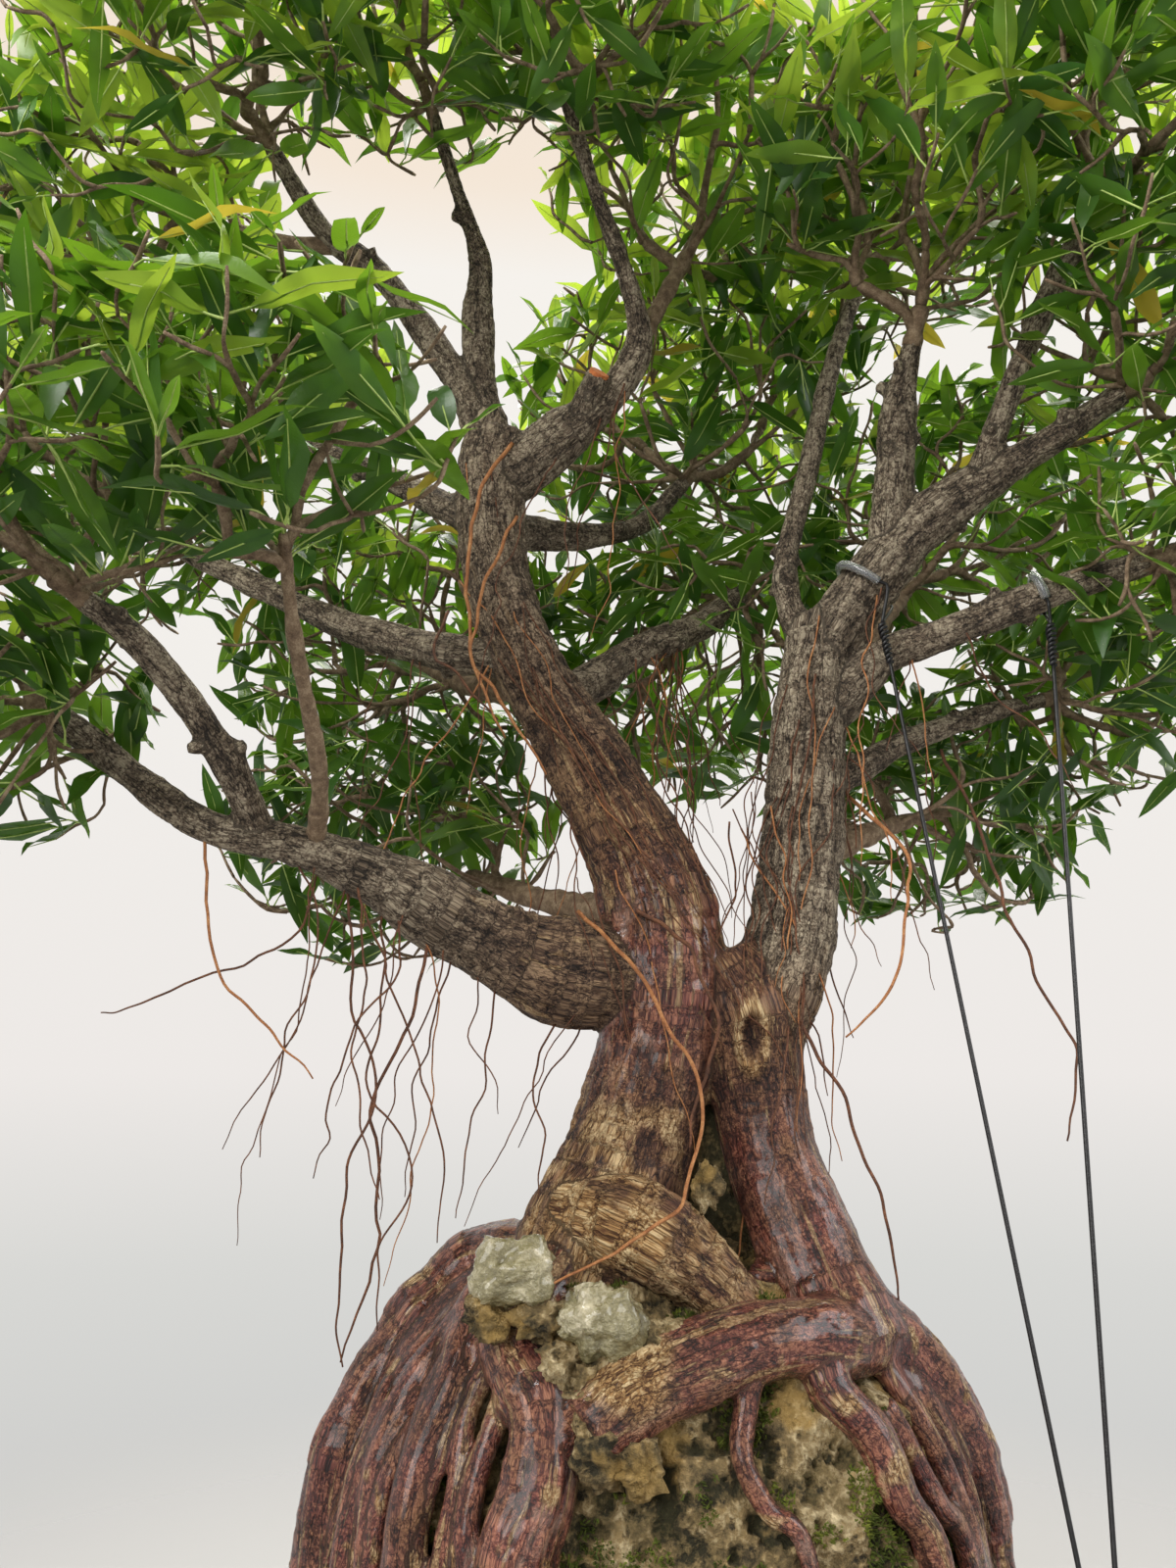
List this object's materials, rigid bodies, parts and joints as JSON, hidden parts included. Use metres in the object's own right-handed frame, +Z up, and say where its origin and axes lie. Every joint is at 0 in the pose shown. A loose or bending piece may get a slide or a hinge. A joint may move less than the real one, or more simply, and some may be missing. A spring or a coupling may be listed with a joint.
{
  "type": "ficus bonsai grown over a rock",
  "caption": "Willow-leaved fig bonsai: two fused stems and clasping roots over a rock in a shallow clay tray, with a broad airy crown, hanging roots and two guy wires",
  "frame": {"origin": "middle of the tray's flat underside", "axes": "+Z up, -Y is the front of the tree, X along the tray's length"},
  "size_m": [0.6751, 0.4615, 0.8027],
  "materials": {
    "clay": "unglazed matte",
    "earth": "rough grit",
    "stone": "rough pitted",
    "red_bark": "smooth flaking bark",
    "grey_bark": "rough cracked bark",
    "foliage": "satin leaf",
    "black_wire": "satin",
    "clear_tube": "clear glossy"
  },
  "bodies": {
    "root": {"air_root_front": "red_bark", "air_root_left": "red_bark", "bough_back": "grey_bark", "bough_left_high": "grey_bark", "bough_left_low": "grey_bark", "bough_left_mid": "grey_bark", "bough_left_riser": "grey_bark", "bough_low_back": "grey_bark", "bough_right_front_up": "grey_bark", "bough_right_high": "grey_bark", "bough_right_low": "grey_bark", "bough_right_mid": "grey_bark", "bough_right_rear_up": "grey_bark", "bough_right_stub": "grey_bark", "bough_top_centre": "grey_bark", "bough_top_left": "grey_bark", "bough_top_right": "grey_bark", "guy_sleeve_outer": "clear_tube", "guy_sleeve_right": "clear_tube", "guy_wire_outer": "black_wire", "guy_wire_right": "black_wire", "leaves_back": "foliage", "leaves_back_left": "foliage", "leaves_back_right": "foliage", "leaves_left_front": "foliage", "leaves_left_high": "foliage", "leaves_left_low": "foliage", "leaves_left_mid": "foliage", "leaves_left_rear": "foliage", "leaves_left_spur": "foliage", "leaves_low_back": "foliage", "leaves_right_front": "foliage", "leaves_right_high": "foliage", "leaves_right_low": "foliage", "leaves_right_mid": "foliage", "leaves_right_rear": "foliage", "leaves_right_stub": "foliage", "leaves_right_top": "foliage", "leaves_top_centre": "foliage", "leaves_top_inner": "foliage", "leaves_top_left": "foliage", "leaves_top_middle": "foliage", "leaves_upper_left": "foliage", "right_stem": "grey_bark", "rock": "stone", "root_back": "red_bark", "root_back_left": "red_bark", "root_back_right": "red_bark", "root_crossing": "red_bark", "root_front_left": "red_bark", "root_left_front": "red_bark", "root_left_outer": "red_bark", "root_left_side": "red_bark", "root_right_front": "red_bark", "root_right_inner": "red_bark", "root_right_outer": "red_bark", "root_thin": "red_bark", "soil": "earth", "tray": "clay", "trunk": "red_bark"}
  },
  "joints": []
}
